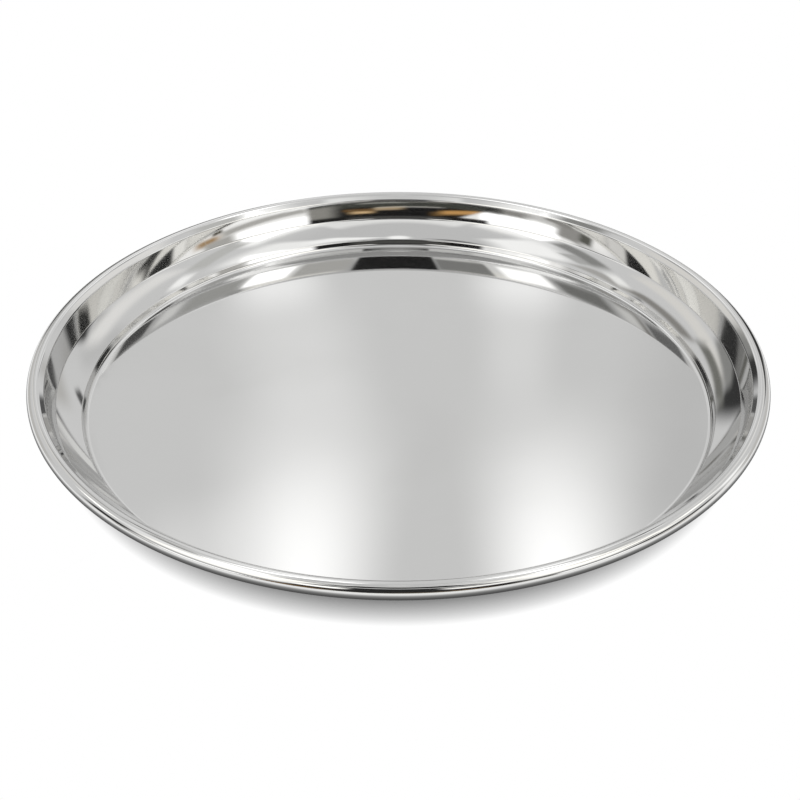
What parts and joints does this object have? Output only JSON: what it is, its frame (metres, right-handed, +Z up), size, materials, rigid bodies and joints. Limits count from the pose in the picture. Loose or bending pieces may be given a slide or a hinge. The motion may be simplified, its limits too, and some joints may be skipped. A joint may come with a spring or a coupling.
{
  "type": "thali plate",
  "caption": "Round stainless steel thali plate with a flat floor, a stepped and flared wall and an edge rolled over a wire.",
  "frame": {"origin": "centre of the flat underside, on the surface that the plate stands on", "axes": "+Z up along the plate's axis; X and Y lie in the floor, which is round, so their direction is free"},
  "size_m": [0.3, 0.3, 0.0234],
  "materials": {
    "polished_steel": "mirror-polished stainless sheet with very fine wiping marks",
    "wire_steel": "drawn steel wire"
  },
  "bodies": {
    "root": {"pressed_plate": "polished_steel", "rim_wire": "wire_steel"}
  },
  "joints": []
}
